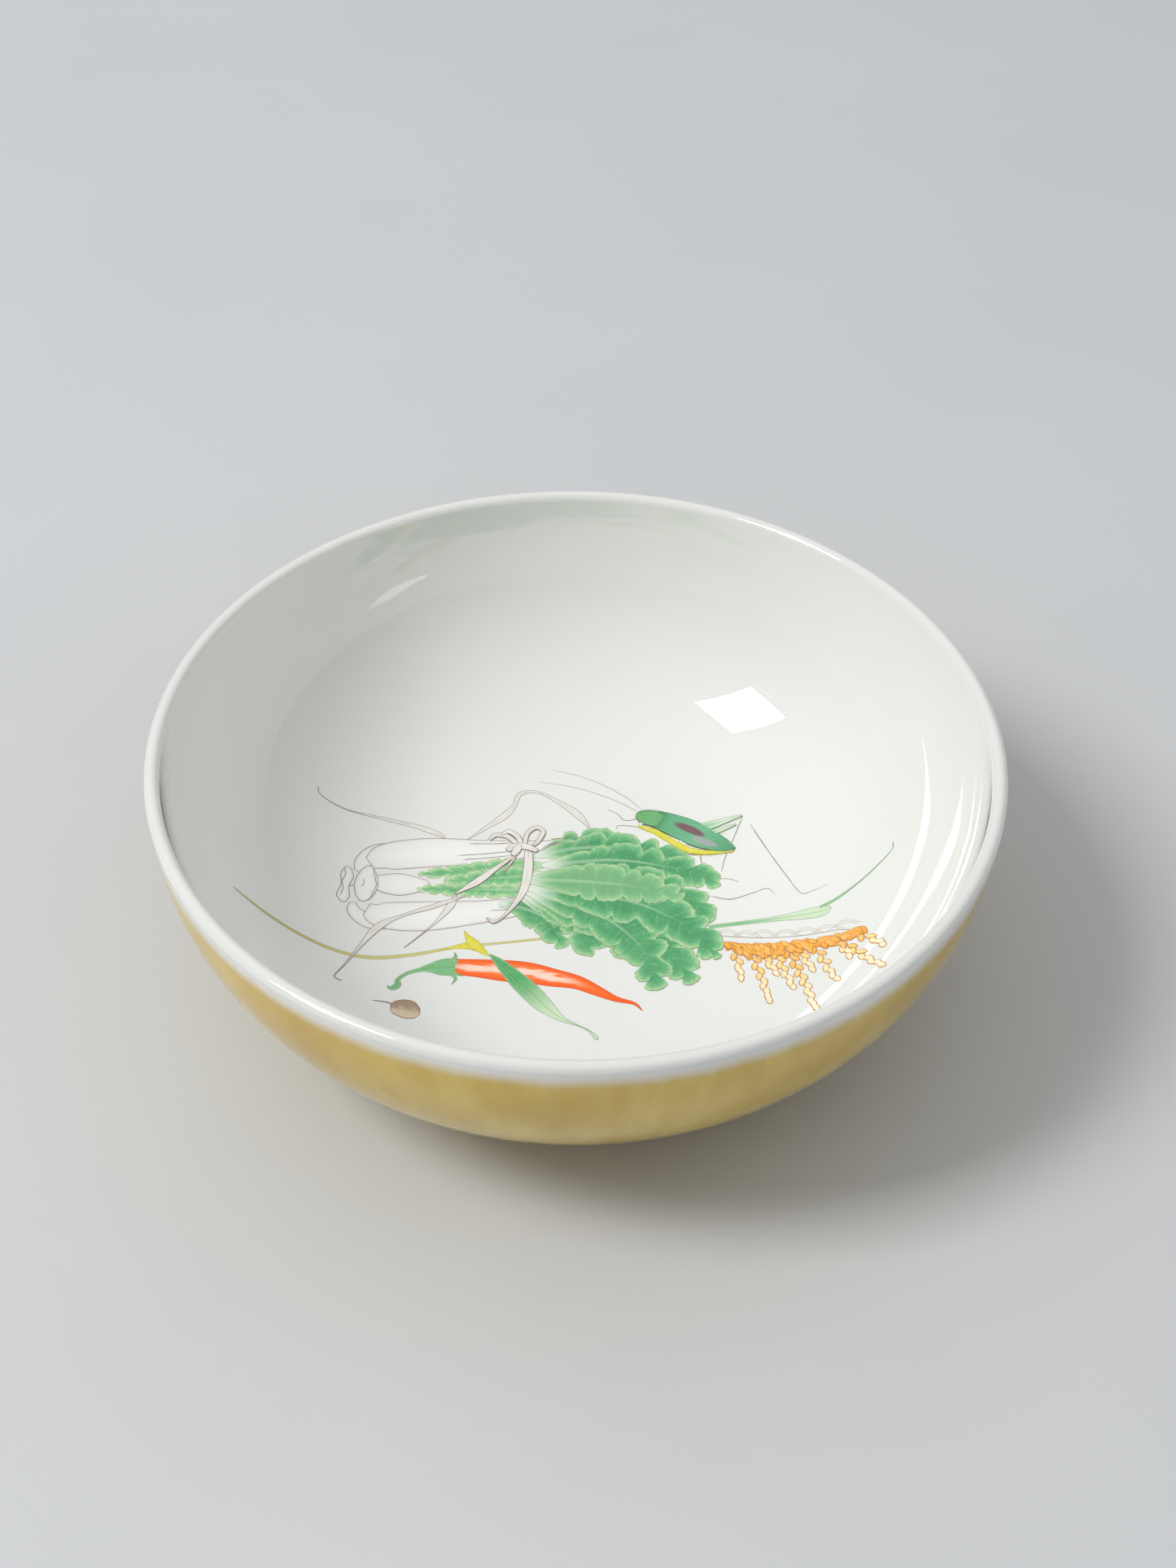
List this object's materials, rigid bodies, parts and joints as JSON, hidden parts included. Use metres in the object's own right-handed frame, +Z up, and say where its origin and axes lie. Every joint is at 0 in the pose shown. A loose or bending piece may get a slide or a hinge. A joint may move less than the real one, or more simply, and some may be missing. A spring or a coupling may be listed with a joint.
{
  "type": "porcelain tea bowl",
  "caption": "Shallow round handleless porcelain tea bowl with a sunken foot, yellow outside, with a garden still life painted in raised enamel inside.",
  "frame": {"origin": "centre of the foot ring where it stands on the table", "axes": "+Z up along the bowl's axis; +X to the right and +Y to the top of the painting inside, seen from above"},
  "size_m": [0.09, 0.09, 0.031],
  "materials": {
    "bare_porcelain": "matt",
    "clear_glaze": "gloss",
    "yellow_glaze": "gloss",
    "deep_green_enamel": "gloss",
    "light_green_enamel": "gloss",
    "sepia_line": "gloss",
    "straw_enamel": "gloss",
    "orange_red_enamel": "gloss",
    "leaf_green_enamel": "gloss",
    "olive_enamel": "gloss",
    "yellow_enamel": "gloss",
    "ochre_enamel": "gloss",
    "blue_green_enamel": "gloss",
    "brown_enamel": "gloss"
  },
  "bodies": {
    "root": {"porcelain_body": "bare_porcelain", "inner_glaze": "clear_glaze", "yellow_glaze": "yellow_glaze", "foot_glaze": "clear_glaze", "cabbage_leaves": "deep_green_enamel", "cabbage_frills": "light_green_enamel", "cabbage_stalks": "sepia_line", "straw_tie": "straw_enamel", "chilli_fruit": "orange_red_enamel", "chilli_cap": "leaf_green_enamel", "grass_stem": "olive_enamel", "grass_sheath": "yellow_enamel", "grass_blade": "leaf_green_enamel", "cross_leaf": "leaf_green_enamel", "millet_grains": "ochre_enamel", "millet_stalks": "sepia_line", "insect_body": "blue_green_enamel", "insect_belly": "yellow_enamel", "insect_legs": "sepia_line", "bean": "brown_enamel"}
  },
  "joints": []
}
